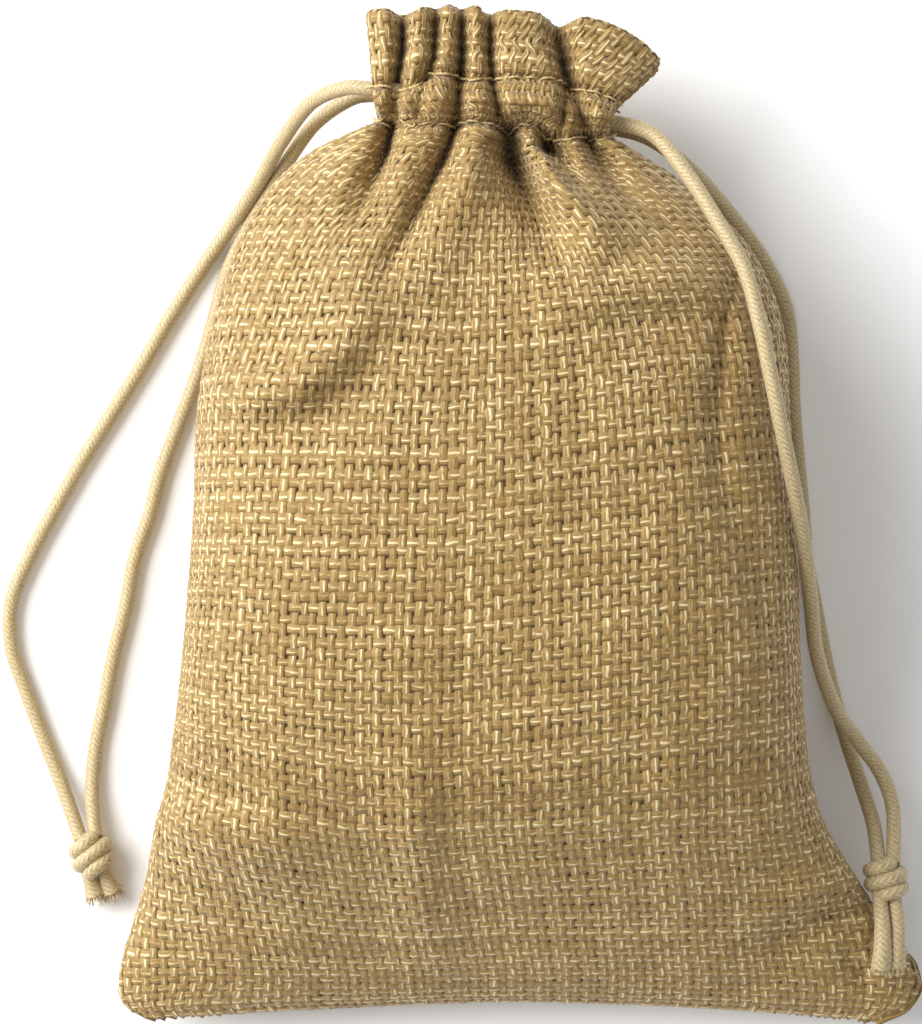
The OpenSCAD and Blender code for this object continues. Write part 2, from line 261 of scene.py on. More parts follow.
def braidedCordMaterial():
    # Braided polyester cord, machine braided over a core: cream and softly shiny along each
    # strand, with painted shade that turns it brown towards the crevices between the strands
    material, tree, shader = newMaterial(
        "braided polyester cord", Roughness=0.48, Specular_IOR_Level=0.42, IOR=1.5,
        Sheen_Weight=0.25, Sheen_Roughness=0.4)
    # the strands' crest height sets the colour: painted shade, brown towards the crevices
    crest = addNode(tree, "Attribute", attribute_name="crest").outputs["Fac"]
    place = addNode(tree, "TexCoord").outputs["Object"]
    # filaments of 0.2 mm
    filaments = addNode(tree, "TexNoise", {"Vector": place}, {"Scale": 5200, "Detail": 1})
    mixed = addNode(tree, "Math", {0: crest, 1: filaments.outputs["Fac"]}, operation="ADD")
    tone = addNode(tree, "Math", {0: mixed.outputs[0]}, {1: 0.72, 2: -0.28},
                   operation="MULTIPLY_ADD")
    colour = addNode(tree, "ValToRGB", {"Fac": tone.outputs[0]}, stops=[
        (0.0, "#735e3a"), (0.3, "#9c875f"), (0.62, "#b8a57c"), (1.0, "#d6c6a0")])
    tree.links.new(colour.outputs["Color"], shader.inputs["Base Color"])
    bump = addNode(tree, "Bump", {"Height": filaments.outputs["Fac"]},
                   {"Strength": 0.25, "Distance": 0.00006})
    tree.links.new(bump.outputs["Normal"], shader.inputs["Normal"])
    return material


def smoothRoute(points, step):
    # a spline through the points, resampled at even steps of its own length
    table = np.array(points, float)
    fine = splineRows(table, np.linspace(0, len(table) - 1, 40 * len(table)))
    run = runAlong(fine)
    at = np.linspace(0, run[-1], max(int(run[-1] / step) + 1, 8))
    return np.stack([np.interp(at, run, fine[:, k]) for k in range(3)], -1)


def braid(path, radius, flare=None, up=(0, 0, 1)):
    # a braided tube. Two families of strands cross at places
    # f = n angle / 2 pi + s / lay and g = n angle / 2 pi - s / lay. Each passes over two
    # and under two of the other, and stands proud by a half sine across its width
    rings, sides, count = len(path), cordLook["sides"], cordLook["strands"]
    run = runAlong(path)
    turn = np.arange(sides) / sides * count
    f = turn + run[:, None] / cordLook["lay"]
    g = turn - run[:, None] / cordLook["lay"]
    overF = (np.floor(f) + np.floor(g)) % 4 < 2
    ridgeF = np.abs(np.sin(np.pi * f)) ** 0.6
    ridgeG = np.abs(np.sin(np.pi * g)) ** 0.6
    crest = np.where(overF, ridgeF, ridgeG)
    relief = 1 + cordLook["relief"] * (crest - 0.6)
    width = np.full(rings, radius) if flare is None else radius * flare(np.linspace(0, 1, rings))
    ups = np.broadcast_to(np.array(up, float), (1, rings, 3))
    points, faces, _ = tubeMesh(path[None], ups, width[None], width[None], sides, relief[None])
    # the crest, which shapes the relief, also goes out as the painted shade of the cord's colour
    return points, faces, crest.ravel()


def joinMeshes(meshes):
    # several (points, faces, value) meshes as one
    starts = np.cumsum([0] + [len(points) for points, _, _ in meshes[:-1]])
    return (np.concatenate([m[0] for m in meshes]),
            np.concatenate([m[1] + start for m, start in zip(meshes, starts)]),
            np.concatenate([m[2] for m in meshes]))


def cordPiece(name, mesh, body, node, material):
    # a braided piece that stands in for a node of the frame
    points, faces, crest = mesh
    piece = makePiece(name, points, faces, body, material, attributes={"crest": crest})
    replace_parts(piece, node)
    return piece


def fromNeck(u, v, z):
    # a point of the neck's own frame: u along the cords, v towards the mouth
    tilt = np.radians(neck["tilt"])
    x, y, z0 = neck["at"]
    return [x + u * np.cos(tilt) + v * np.sin(tilt), y - u * np.sin(tilt) + v * np.cos(tilt), z0 + z]


def freeStrand(name, side, hemSide, route, body, cordMaterial):
    # a strand: straight out of the casing, then along its route to the knot
    inside = [fromNeck(side * u, -side * neck["lane"], hemSide * neck["channelZ"])
              for u in (neck["strandStart"], neck["halfWidth"] - 5, neck["halfWidth"] + 1)]
    path = smoothRoute(inside + route, cordLook["ringStep"])
    strand = cordPiece(name, braid(path, cordLook["radius"]), body,
                       name.replace("_cord", "_strand"), cordMaterial)
    exitPoint = fromNeck(side * neck["halfWidth"], -side * neck["lane"], hemSide * neck["channelZ"])
    return strand, path, exitPoint


def loopPiece(name, side, body, node, cordMaterial):
    # the part of a cord that stays in the casing, through the front, half a circle round
    # the far end and back through the other side
    reach, turn = neck["channelZ"], neck["loopTurn"]
    around = np.linspace(0, np.pi, 13)
    straight = np.linspace(-neck["loopEnd"], turn, 16)[:-1]
    line = [(u, reach) for u in straight]
    line += [(turn + reach * np.sin(a), reach * np.cos(a)) for a in around]
    line += [(u, -reach) for u in straight[::-1]]
    path = smoothRoute([fromNeck(side * u, side * neck["lane"], z) for u, z in line],
                       cordLook["ringStep"])
    up = np.subtract(fromNeck(0, 1, 0), fromNeck(0, 0, 0))
    cordPiece(name, braid(path, cordLook["radius"], up=up), body, node, cordMaterial)


knotLook = {
    "turns": 2.35, "firstAngle": 0.6,       # of the wrap, and radians where it begins
    "reach": 2.45, "tuckedReach": 0.7,      # mm from the axis, and at the tucked ends
    "pitch": 2.254,                         # mm along for each turn
    "wrapRadius": 1.22, "coreRadius": 1.15, # mm
}


def knotPiece(name, knot, body, node, cordMaterial):
    # An overhand knot in the doubled cord, as a helix that slants round the two strands:
    # (r cos a, -pitch turns (share - 1/2), r sin a), where r falls off as the ends tuck in
    share = np.linspace(0, 1, 150)
    angle = 2 * np.pi * knotLook["turns"] * share + knotLook["firstAngle"]
    tuck = np.clip(np.minimum(share, 1 - share) / 0.12, 0, 1) ** 0.7
    reach = knotLook["tuckedReach"] + (knotLook["reach"] - knotLook["tuckedReach"]) * tuck
    along = knotLook["pitch"] * knotLook["turns"] * (share - 0.5)
    helix = np.stack([reach * np.cos(angle), -along, reach * np.sin(angle)], -1)
    helix[:, 1] += helix[:, 0] * np.tan(np.radians(knot["slant"]))
    helix = smoothRoute(helix[::5], 0.2)
    core = smoothRoute([[-0.9, 3.6, 0], [-0.6, 1.5, 0.2], [-0.6, -1.5, 0.2], [-0.9, -3.4, 0]], 0.3)
    other = smoothRoute([[1.1, 3.6, 0], [0.8, 1.5, -0.2], [0.8, -1.5, -0.2], [1.0, -3.4, 0]], 0.3)
    points, faces, crest = joinMeshes([braid(helix, knotLook["wrapRadius"]),
                                       braid(core, knotLook["coreRadius"]),
                                       braid(other, knotLook["coreRadius"])])
    turn = np.radians(knot["turn"])
    turned = np.stack([points[:, 0] * np.cos(turn) - points[:, 1] * np.sin(turn),
                       points[:, 0] * np.sin(turn) + points[:, 1] * np.cos(turn),
                       points[:, 2]], -1) + knot["at"]
    turned[:, 2] = np.maximum(turned[:, 2], 0.05)
    return cordPiece(name, (turned, faces, crest), body, node, cordMaterial)


def frayedTail(name, route, body, node, seed, cordMaterial):
    # a cut end: the braid opens out and ends in a brush of loose filaments
    random = np.random.default_rng(seed)
    path = smoothRoute(route, cordLook["ringStep"])
    meshes = [braid(path, cordLook["radius"], lambda share: 1 + cordLook["flare"] * share ** 2)]
    ahead = unit(path[-1] - path[-4])
    side = unit(np.cross(ahead, [0, 0, 1]))
    up = np.cross(side, ahead)
    count, rings = cordLook["fibres"], 6
    angle = random.uniform(0, 2 * np.pi, count)
    reach = np.sqrt(random.uniform(0.02, 1, count)) * cordLook["radius"] * 1.15
    length = random.uniform(*cordLook["fibreLength"], count)
    share = np.linspace(0, 1, rings)[None, :, None]
    sideways = (reach * np.cos(angle))[:, None] * side
    upwards = (reach * np.sin(angle))[:, None] * up
    start = path[-3] + sideways + upwards
    spread = sideways * 0.5 + upwards * 0.35 + random.normal(0, 0.22, (count, 3))
    fibres = start[:, None] + length[:, None, None] * share * ahead + spread[:, None] * share ** 2
    fibres[..., 2] = np.maximum(fibres[..., 2], 0.25)
    ups = np.broadcast_to(up, fibres.shape) + 0.01
    thin = np.broadcast_to(np.linspace(*cordLook["fibreRadius"], rings), (count, rings))
    points, faces, _ = tubeMesh(fibres, ups, thin, thin, 6)
    meshes.append((points, faces, np.repeat(random.uniform(0.55, 1.1, count), rings * 6)))
    return cordPiece(name, joinMeshes(meshes), body, node, cordMaterial)


cordMaterial = braidedCordMaterial()
drawstrings = [
    ("left", -1, leftKnot, (("outer", 1, leftOuter), ("inner", -1, leftInner))),
    ("right", 1, rightKnot, (("front", 1, rightFront), ("back", -1, rightBack)))]
seed = 5
for hand, side, knot, strands in drawstrings:
    body = hand + "_drawstring"
    knotted = knotPiece(hand + "_cord_knot", knot, body, hand + "_knot", cordMaterial)
    loopPiece(hand + "_cord_in_casing", -side, "pouch", hand + "_cord_loop", cordMaterial)
    for number, (which, hemSide, route) in enumerate(strands):
        strand, path, exitPoint = freeStrand(
            hand + "_" + which + "_cord", side, hemSide, route, body, cordMaterial)
        tailNode = hand + "_" + which + "_tail"
        seed += 1
        tail = frayedTail(hand + "_" + which + "_cord_end", tails[tailNode], body, tailNode,
                          seed, cordMaterial)


# the cloth

# Cross sections of the pouch from the bottom seam to the neck, in mm: y, left, right,
# height of the side seams, top, bottom, squareness
bodySections = [
    [-82.6, -59.0, 59.0, 8, 8.4, 7.6, 2], [-80, -65, 64.5, 8, 13, 4.5, 2],
    [-75, -65.8, 65.8, 8, 18.5, 2.2, 2], [-67, -63.5, 60.5, 9, 26, 0.8, 2.1],
    [-59, -61, 55, 12, 33, 0.8, 2.3], [-50, -59.2, 49.5, 16, 40.5, 0.8, 2.5],
    [-44.5, -57.6, 47.7, 17.7, 44, 0.8, 2.5], [-39, -56.6, 46.5, 19, 46.5, 0.8, 2.5],
    [-24, -54.5, 45, 22, 50.5, 0.8, 2.7], [1, -52.5, 44.2, 23, 52, 0.8, 2.6],
    [16, -52, 43.2, 23.5, 51.5, 0.8, 2.5], [31, -49.5, 42.2, 24, 49, 1.4, 2.4],
    [43, -45.5, 38, 24, 45, 3, 2.3], [51, -40.5, 31.5, 24, 41, 6.5, 2.2],
    [57, -34, 24, 24, 38, 10, 2.2]]
# The gathered hem above them: left, right, how far its ends stand off the cords' middle
# height, how far its crest does, and its line across the neck as (x, y)
hemSections = [
    [-23.2, 14.6, 5.6, 11.2, [(-23, 63.5), (-15.5, 62.5), (-7, 63), (-2.5, 62), (1.5, 63),
                              (6, 60.5), (10.5, 61), (14.5, 61)]],
    [-23.2, 14.6, 7.4, 12.6, [(-23, 66), (-13, 66.5), (1.5, 66), (14.5, 63.5)]],
    [-23.6, 15.5, 7, 11.4, [(-23.5, 69), (-18, 68.5), (-13.5, 71), (-7, 70), (1, 70),
                            (6.5, 69.5), (11, 68), (15.5, 66.5)]],
    [-24.1, 19.4, 6.2, 11.4, [(-24, 75), (-13, 76), (-5, 75.2), (1, 74.8), (10, 73.2), (19.4, 70.2)]],
    [-24.6, 22, 5.6, 11.4, [(-24.5, 80.4), (-21.5, 80.5), (-19, 80), (-17, 80), (-13, 81),
                            (-9, 81), (-5.5, 80), (-0.5, 80), (4, 79.5), (6, 78), (10, 79),
                            (12.5, 78.5), (16, 77), (19.5, 75), (22, 72.5)]]]
cloth = {
    "rows": 520, "columns": 700,    # of the surface that the yarns follow
    "warps": 86, "wefts": 104,      # yarns of one panel, up to the mouth
    "bottomLift": 2.9,              # mm that the bottom edge is drawn up at its middle
    "cornerBow": 3.2,               # mm that its corners hang below that
    "bottomFade": 14,               # mm over which both fade out upwards
    "tiltFrom": 20,                 # mm of Y where the rows begin to turn with the neck
    "swell": 1.4,                   # mm that the casing swells between its stitch rows
    "lowerPull": 1.9, "upperPull": 1.6,     # mm that the rows pull the cloth in
    "foldRadius": 0.7,              # mm, where the hem folds over at the mouth
    "outerWall": 7.15,              # mm of the casing's outer wall from the neck's middle, at least
    "innerWall": 3.1,               # mm of its inner wall from the neck's middle
    "wallEnds": 0.79,               # share of the neck's width that the inner wall covers
    "lowest": 0.75,                 # mm of the back's middle surface over the floor
    "gathersFrom": 36, "gathersIn": 18,     # mm of Y where the gathers begin, and fade in
    "neckY": 60, "bodyFolds": 1.5,  # mm of Y below which the folds are this much deeper
    "ripple": 0.35,                 # mm of unevenness
    "backing": (0.26, 0.52),        # mm under the yarns' surface, of the backing's two faces
}
yarn = {
    "warpHalf": 0.79, "weftHalf": 0.9, "thickness": 0.2,     # mm
    "swing": 0.14,                  # mm that a yarn rises and falls
    "sides": 6, "perCrossing": 3,   # faces round it, and rings to a crossing
    "slub": 0.2,                    # share that a yarn swells and thins along its length
    "uneven": 0.1,                  # share that yarns differ in width and in their spacing
    "wander": 0.09,                 # mm that it strays sideways
    "slimmest": 0.45, "widest": 1.12,       # shares of its width, where there is less room
    # tone at random by yarn, slowly and quickly along it; painted shade by float, lighter over a
    # crossing and darker under one
    "toneByYarn": 0.035, "toneSlow": 0.045, "toneQuick": 0.05, "paintedFloatShade": 0.02,
    "paleShare": 0.06, "paleTone": 0.08,    # of the yarns, and how much paler they are
}
relaxing = {                        # how the weave settles on the surface
    "rounds": 260, "quickRounds": 60,
    "stretched": 0.22, "slack": 0.06,       # share of a cell's error that a round takes up
    "straighten": 0.14,             # share of a yarn's kink
    "smoothRounds": 14, "smoothShare": 0.25,
    "climb": 0.11,                  # mm that the weft climbs for each mm to the right
    "cornerFall": 0.3,              # and falls for each mm to the left, at the lower left
    "wave": 0.5,                    # mm of unevenness
}

# Folds that run out of the gathers, each a line of (x, y, height, width) in mm
frontFolds = [
    [(-19, 82, -7, 1.2), (-19, 75.5, -8, 1.1), (-20, 69, -7, 1), (-20.5, 63.5, -8, 1.1),
     (-21.5, 59, -7, 1.6), (-23.5, 53.5, -5, 2.4), (-25.5, 48, -3, 3.5), (-27.5, 43, -1.2, 5),
     (-28.5, 38.5, 0, 6)],
    [(-13.5, 82, -6, 1.2), (-14, 73.5, -6, 1.1), (-15.5, 69, -2.5, 1.1), (-16.5, 64, -1.2, 1),
     (-17.5, 60, 0, 1.5)],
    [(-9.5, 82, -7, 1.2), (-9.5, 74.5, -8, 1.1), (-10, 68, -7, 1.1), (-10.5, 62.5, -7.5, 1.1),
     (-12.5, 57, -5, 1.2), (-15, 52, -3.5, 1.5), (-18, 45, -2.3, 2), (-21.5, 38.5, -1.4, 2.6),
     (-25, 32, 0, 4)],
    [(-5, 81, -5.5, 1.1), (-5, 74.5, -6.5, 1.1), (-4.5, 69, -5, 1.1), (-3.5, 63.5, -7, 1.2),
     (-2, 61.5, -10, 2), (-1.7, 57.5, -10, 2.4), (-0.2, 53.5, -7, 2.6), (2, 48.5, -4, 3),
     (4, 43.5, -2, 3.6), (5.5, 38.5, 0, 5)],
    [(3, 61.5, -4, 1.4), (4, 59.5, -8, 2), (6, 58, -5, 1.8), (8, 55.5, -1.5, 2),
     (10.5, 52.5, 0, 3)],
    [(5.5, 80, -6, 1.6), (6, 76, -8, 1.8), (7.5, 70.5, -7, 1.3), (9, 66, -5, 1),
     (10.5, 61, -7, 1.4), (12.5, 57, -4.5, 2), (15, 53.5, -3, 2.8), (18.5, 49, -1.2, 4),
     (21, 46.5, 0, 5)],
    [(6.5, 73, -3, 1.2), (7, 68, -3.5, 1), (6.5, 63.5, -4, 1), (6.5, 61, 0, 1)],
    [(-17.5, 61.5, 0.8, 3), (-21, 53.5, 1.5, 4), (-24.5, 44, 2, 6), (-26.5, 34, 1, 8),
     (-27.5, 29.5, 0, 9)],
    [(-6.5, 62, 1.5, 2.5), (-8, 55, 2, 3.2), (-11, 47, 1.7, 4.2), (-16, 38, 1.2, 5.5),
     (-20, 31, 0, 8)],
    [(0.8, 61.3, 1.6, 1.2), (2.3, 57.7, 4.6, 1.4), (4.4, 54, 4.4, 1.8), (7.4, 50, 3.6, 2.4),
     (11.4, 45.5, 2.4, 3.4), (15.5, 40.5, 0, 6)],
    [(7, 60, 0.8, 1.8), (10, 56.5, 1.5, 2.2), (12.5, 53, 1.5, 3), (16.5, 48.5, 0.8, 5),
     (19.5, 44.5, 0, 6)],
    [(-49.5, 22.5, 0, 4), (-48, 21, 1.5, 4), (-42, 19, 3, 4.5), (-35, 20, 3, 4.5),
     (-29, 26, 2.5, 4.5), (-24.5, 34, 1.5, 5), (-20, 40, 0, 6)],
    [(-45.5, 15.5, -1, 5), (-35, 15.5, -2, 6), (-26, 22, -1.5, 6), (-21.5, 31, 0, 6)],
    [(1, 32.5, 0, 6), (12.5, 35.5, 1.5, 5), (22, 36.5, 2, 4.5), (31.5, 35.5, 1.5, 4),
     (34.5, 37, 0, 4)],
    [(6, 29.5, 0, 6), (18.5, 32, -1.2, 5), (30, 32, -1, 5), (33, 31, 0, 4)],
    [(33.5, 38, -1, 1.2), (32, 31.5, -1.6, 1.5), (30.5, 18.5, -1.5, 2), (31, 6, -1.2, 2.5),
     (33.5, 0, -1, 3), (35.5, -6, -1, 3), (39.5, -16, -0.8, 3), (42, -22, 0, 3)],
    [(-59, -40.5, -2, 2), (-55.5, -41.5, -1.6, 2.6), (-49, -43.5, -1.3, 3.8), (-39, -46, 0, 5.5)],
    [(-57, -48, 0.4, 4), (-50, -50.5, 1.2, 5), (-42, -53.5, 1.2, 6), (-32, -57, 0, 8)],
    [(-18, -30, 0, 6), (-17.3, -40, 0.8, 4), (-16.6, -52, 1.1, 3.5), (-16, -64, 0.8, 4),
     (-15, -74, 0, 6)],
    [(57, -63, -1, 2.5), (49.5, -64.5, -2.5, 3), (44, -67, -2, 4), (38, -69.5, -1, 5),
     (32.5, -72.5, 0, 6)],
    [(54, -59.5, 0.8, 3), (45.5, -62.5, 1.5, 4), (37, -66.5, 0.8, 5), (31.5, -69, 0, 6)],
    [(51.5, -69, 0, 2), (53.5, -72, -1, 2), (56.5, -75, -1, 2), (58.5, -77.5, 0, 2)]]
# The gathers of the back run the same way, from a neck of the same width
backFolds = [
    [(-18, 82, -6, 1.4), (-18, 69, -5, 1.2), (-19, 62, -6, 1.5), (-23, 52, -3, 3), (-27, 40, 0, 5)],
    [(-12, 82, -6, 1.4), (-12, 69, -5, 1.2), (-12.5, 62, -7, 1.5), (-14, 53, -4, 2.6),
     (-17, 40, -1.5, 4.5), (-18, 30, 0, 6)],
    [(-6, 82, -6, 1.3), (-6, 69, -5, 1.2), (-6, 62, -6, 1.4), (-6, 56, -3, 2.2), (-7, 48, 0, 3)],
    [(-0.5, 82, -7, 1.5), (-0.5, 69, -5, 1.2), (0, 62, -7, 1.6), (1, 52, -4, 3), (3, 40, -1, 5),
     (4, 32, 0, 6)],
    [(5, 80, -6, 1.3), (4.5, 69, -5, 1.2), (5, 61, -6, 1.3), (7, 55, -3, 2), (9, 49, 0, 3)],
    [(11, 79, -6, 1.6), (9.5, 69, -5, 1.2), (10, 61, -6, 1.5), (15, 52, -3.5, 3), (21, 42, 0, 5)],
    [(-36, 44, 0, 4), (-30, 36, 1.5, 5), (-16, 27, 2, 6), (4, 25, 2, 6), (20, 30, 1.5, 5),
     (28, 38, 0, 4)]]


def hemLine(section, share):
    # the line across the neck at even shares from its left to its right
    left, right, _, _, line = section
    x = left + (right - left) * share
    return np.interp(x, [p[0] for p in line], [p[1] for p in line])


def sheetSurface(side, folds, noiseSeed):
    # One panel with its hem, side 1 the front and -1 the back. Across a row, at angle a:
    # x = middle - w sgn(cos a) |cos a|^(2/n), z = seam + h |sin a|^(2/n), then the folds,
    # the casing's bulge and the pull of its stitches are added to z. Rows are evenly far
    # apart along the middle, and columns along each row.
    share = np.linspace(0, 1, 33)
    tilt = np.tan(np.radians(neck["tilt"]))
    widths, lines = [], []
    for y, left, right, seam, top, bottom, square in bodySections:
        x = left + (right - left) * share
        tilted = np.clip((y - cloth["tiltFrom"]) / (neck["at"][1] - cloth["tiltFrom"]), 0, 1)
        low = np.exp(-(y - bodySections[0][0]) / cloth["bottomFade"])
        bow = cloth["cornerBow"] * np.abs(2 * share - 1) ** 1.6 * low
        widths.append([left, right, seam, top if side > 0 else bottom, square])
        lines.append(y + cloth["bottomLift"] * low - bow - tilted * tilt * (x - neck["at"][0]))
    for section in hemSections:
        left, right, end, crest, _ = section
        widths.append([left, right, neck["at"][2] + side * end, neck["at"][2] + side * crest, 2.6])
        lines.append(hemLine(section, share))
    widths, lines = np.array(widths, float), np.array(lines)
    last = len(widths) - 1
    fine = np.linspace(0, last, 2000)
    middle = np.stack([splineRows(lines, fine)[:, 16], splineRows(widths, fine)[:, 3]], -1)
    run = runAlong(middle)
    at = np.interp(np.linspace(0, run[-1], cloth["rows"]), run, fine)
    left, right, seam, crest, square = splineRows(widths, at).T[:, :, None]
    angle = np.linspace(0, np.pi, 1300)[None]
    c, s = np.cos(angle), np.sin(angle)
    across = -np.sign(c) * np.abs(c) ** (2 / square)
    x = (left + right) / 2 + (right - left) / 2 * across
    z = seam + (crest - seam) * np.maximum(s, 0) ** (2 / square)
    line = splineRows(lines, at)
    y = np.stack([np.interp((a + 1) / 2, share, row) for a, row in zip(across, line)])
    plain = np.stack([x, y, z], -1)
    z = z + side * foldHeight(x, y, folds)
    z = z + side * cloth["ripple"] * softNoise(noiseSeed, *x.shape, 26, 18) * s
    z = z + side * casingHeight(at, last)
    # the outer wall stays clear of the cords, and the back stays on the floor
    inChannel = np.exp(-(np.clip(np.abs(at - (last - 3)) - 0.75, 0, 9) / 0.3) ** 2)[:, None]
    if side > 0:
        z = np.maximum(z, (neck["at"][2] + cloth["outerWall"]) * inChannel)
    else:
        z = np.minimum(z, neck["at"][2] - cloth["outerWall"] + 40 * (1 - inChannel))
        z = np.maximum(z, cloth["lowest"])
    surface = np.stack([x, y, z], -1)
    surface = evenColumns(surface, plain, cloth["columns"])
    return foldOver(surface, side, at, last), at


def foldHeight(x, y, folds):
    # the sum of h exp(-(d / w)^k) over the folds, where d is the distance in plan to a fold's
    # line, h and w run evenly along it, and k is 2 for a ridge and 1.6 for a sharper valley.
    # Below the neck the heights count for half as much again
    total = np.zeros_like(x)
    for fold in folds:
        table = np.array(fold, float)
        table[:, 2] *= np.where(table[:, 1] < cloth["neckY"], cloth["bodyFolds"], 1.0)
        reach = 3 * table[:, 3].max()
        near = ((y > table[:, 1].min() - reach) & (y < table[:, 1].max() + reach)
                & (x > table[:, 0].min() - reach) & (x < table[:, 0].max() + reach))
        px, py = x[near], y[near]
        best = np.full(px.shape, 1e9)
        height, width = np.zeros(px.shape), np.ones(px.shape)
        for (ax, ay, ah, aw), (bx, by, bh, bw) in zip(table[:-1], table[1:]):
            along = np.clip(((px - ax) * (bx - ax) + (py - ay) * (by - ay))
                            / ((bx - ax) ** 2 + (by - ay) ** 2), 0, 1)
            distance = np.hypot(px - ax - along * (bx - ax), py - ay - along * (by - ay))
            closer = distance < best
            best = np.where(closer, distance, best)
            height = np.where(closer, ah + along * (bh - ah), height)
            width = np.where(closer, aw + along * (bw - aw), width)
        power = 1.6 if table[:, 2].min() < 0 else 2
        total[near] += height * np.exp(-(best / width) ** power)
    return total


def casingHeight(at, last):
    # the casing's swell and the pull of its stitch rows, each h exp(-(d / w)^2) at a
    # distance of d stations
    swell = cloth["swell"] * np.exp(-((at - (last - 3)) / 0.62) ** 2)
    pull = -cloth["lowerPull"] * np.exp(-((at - (last - 4)) / 0.17) ** 2)
    pull = pull - cloth["upperPull"] * np.exp(-((at - (last - 2)) / 0.17) ** 2)
    return (swell + pull)[:, None]


def gatheredShare(y):
    # 0 in the body and 1 in the gathers
    return np.clip((y - cloth["gathersFrom"]) / cloth["gathersIn"], 0, 1)


def evenColumns(surface, plain, count):
    # each row resampled at even steps of its own length, below the gathers of the length
    # that it has without the folds
    gathered = gatheredShare(surface[:, surface.shape[1] // 2, 1])[:, None]
    step = (gathered * np.linalg.norm(np.diff(surface, axis=1), axis=2)
            + (1 - gathered) * np.linalg.norm(np.diff(plain, axis=1), axis=2))
    run = np.concatenate([np.zeros((len(step), 1)), np.cumsum(step, axis=1)], 1)
    share = np.linspace(0, 1, count)
    rows = [[np.interp(share * r[-1], r, row[:, k]) for k in range(3)]
            for r, row in zip(run, surface)]
    return np.moveaxis(np.array(rows), 1, 2)


def foldOver(surface, side, at, last):
    # rows added past the mouth: half a circle of the fold, then back down behind the cloth
    # to the lower stitch row. In the casing the inner wall is level, clear of the cords,
    # and shorter at both ends, where the cords come out
    radius = cloth["foldRadius"]
    step = np.linalg.norm(surface[-1] - surface[-2], axis=1).mean()
    out = side * outwards(surface)
    ahead = unit(surface[-1] - surface[-3])
    normal = out[-1]
    turn = np.linspace(0, np.pi, max(int(np.pi * radius / step), 4) + 1)[1:, None, None]
    half = surface[-1] + radius * (np.sin(turn) * ahead - (1 - np.cos(turn)) * normal)
    rows = np.arange(len(at) - 2, np.searchsorted(at, last - 4), -1)
    inner = (surface - 2 * radius * out)[rows]
    level = np.clip((last - 1.85 - at[rows]) / 0.4, 0, 1) * np.clip((at[rows] - last + 4) / 0.3, 0, 1)
    level = (level * level * (3 - 2 * level))[:, None, None]
    share = np.linspace(-0.5, 0.5, surface.shape[1])
    wall = []
    for row in surface[rows]:
        x = (row[0, 0] + row[-1, 0]) / 2 + (row[-1, 0] - row[0, 0]) * cloth["wallEnds"] * share
        y = np.interp(x, row[:, 0], row[:, 1])
        wall.append(np.stack([x, y, np.full_like(x, neck["at"][2] + side * cloth["innerWall"])], -1))
    inner = inner + level * (np.array(wall) - inner)
    return np.concatenate([surface, half, inner])


def outwards(surface):
    # the unit normal, from the cross product of the steps along columns and rows
    wide, tall = 3, 2
    padded = np.pad(surface, ((tall, tall), (wide, wide), (0, 0)), mode="edge")
    alongRow = padded[tall:-tall, 2 * wide:] - padded[tall:-tall, :-2 * wide]
    alongColumn = padded[2 * tall:, wide:-wide] - padded[:-2 * tall, wide:-wide]
    return unit(np.cross(alongRow, alongColumn))


def sampled(grid, places):
    # a grid of vectors at (row, column) places, bilinear
    row = np.clip(places[..., 0], 0, grid.shape[0] - 1.001)
    column = np.clip(places[..., 1], 0, grid.shape[1] - 1.001)
    r, c = row.astype(int), column.astype(int)
    fr, fc = (row - r)[..., None], (column - c)[..., None]
    return ((grid[r, c] * (1 - fc) + grid[r, c + 1] * fc) * (1 - fr)
            + (grid[r + 1, c] * (1 - fc) + grid[r + 1, c + 1] * fc) * fr)


def onSurface(surface, out, places):
    # points of a surface and the unit normals there
    return sampled(surface, places), unit(sampled(out, places))


